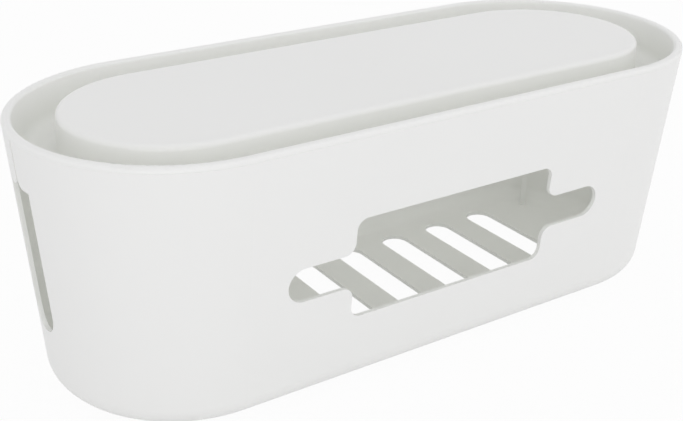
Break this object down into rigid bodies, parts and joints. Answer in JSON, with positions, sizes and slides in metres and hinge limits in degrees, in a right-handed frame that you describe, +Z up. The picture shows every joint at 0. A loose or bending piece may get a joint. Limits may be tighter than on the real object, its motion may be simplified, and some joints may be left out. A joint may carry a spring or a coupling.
{
  "type": "cable management box",
  "caption": "Long box with rounded ends that hides a power strip and its cables, with a stepped front opening, end cable outlets, a slotted floor and a lift-off lid.",
  "frame": {"origin": "on the surface that the box stands on, under the middle of its length and width", "axes": "+X along the length, -Y out of the wall with the stepped opening, +Z up"},
  "size_m": [0.4, 0.162, 0.1415],
  "materials": {
    "white_plastic": "fine satin moulded surface, white",
    "foot_rubber": "soft matt rubber"
  },
  "bodies": {
    "tub": {"box_body": "white_plastic", "foot_front_left": "foot_rubber", "foot_front_right": "foot_rubber", "foot_rear_left": "foot_rubber", "foot_rear_right": "foot_rubber"},
    "lid": {"lid": "white_plastic"}
  },
  "joints": [
    {"name": "lid_lift", "type": "slide", "parent": "tub", "child": "lid", "axis": [0, 0, 1], "range_m": [0, 0.12]}
  ]
}
